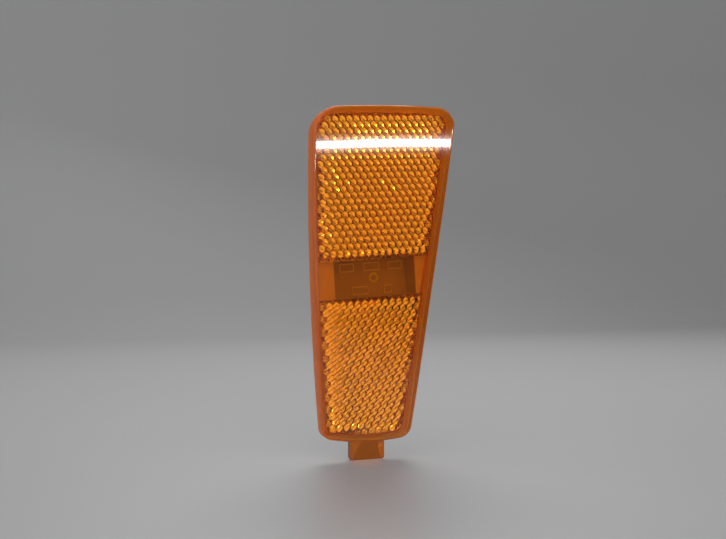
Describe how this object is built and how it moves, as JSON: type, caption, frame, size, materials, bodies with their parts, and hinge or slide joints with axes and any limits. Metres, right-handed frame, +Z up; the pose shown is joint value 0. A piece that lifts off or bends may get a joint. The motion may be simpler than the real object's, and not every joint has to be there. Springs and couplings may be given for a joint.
{
  "type": "side marker reflector",
  "caption": "Amber reflex reflector for a car's front corner: tapered moulded lens with prism fields, plain band and hook tab, closed by a clip-in rear cover.",
  "frame": {"origin": "middle of the clip tower, in the plane of the lens skirt's rear edge, which seats on the bumper", "axes": "+Z up along the lens, -Y out of the lens front, +X to the viewer's right"},
  "size_m": [0.0498, 0.0174, 0.1165],
  "materials": {
    "amber_acrylic": "polished",
    "grey_plastic": "moulded satin"
  },
  "bodies": {
    "root": {"reflector_lens": "amber_acrylic", "rear_cover": "grey_plastic"}
  },
  "joints": []
}
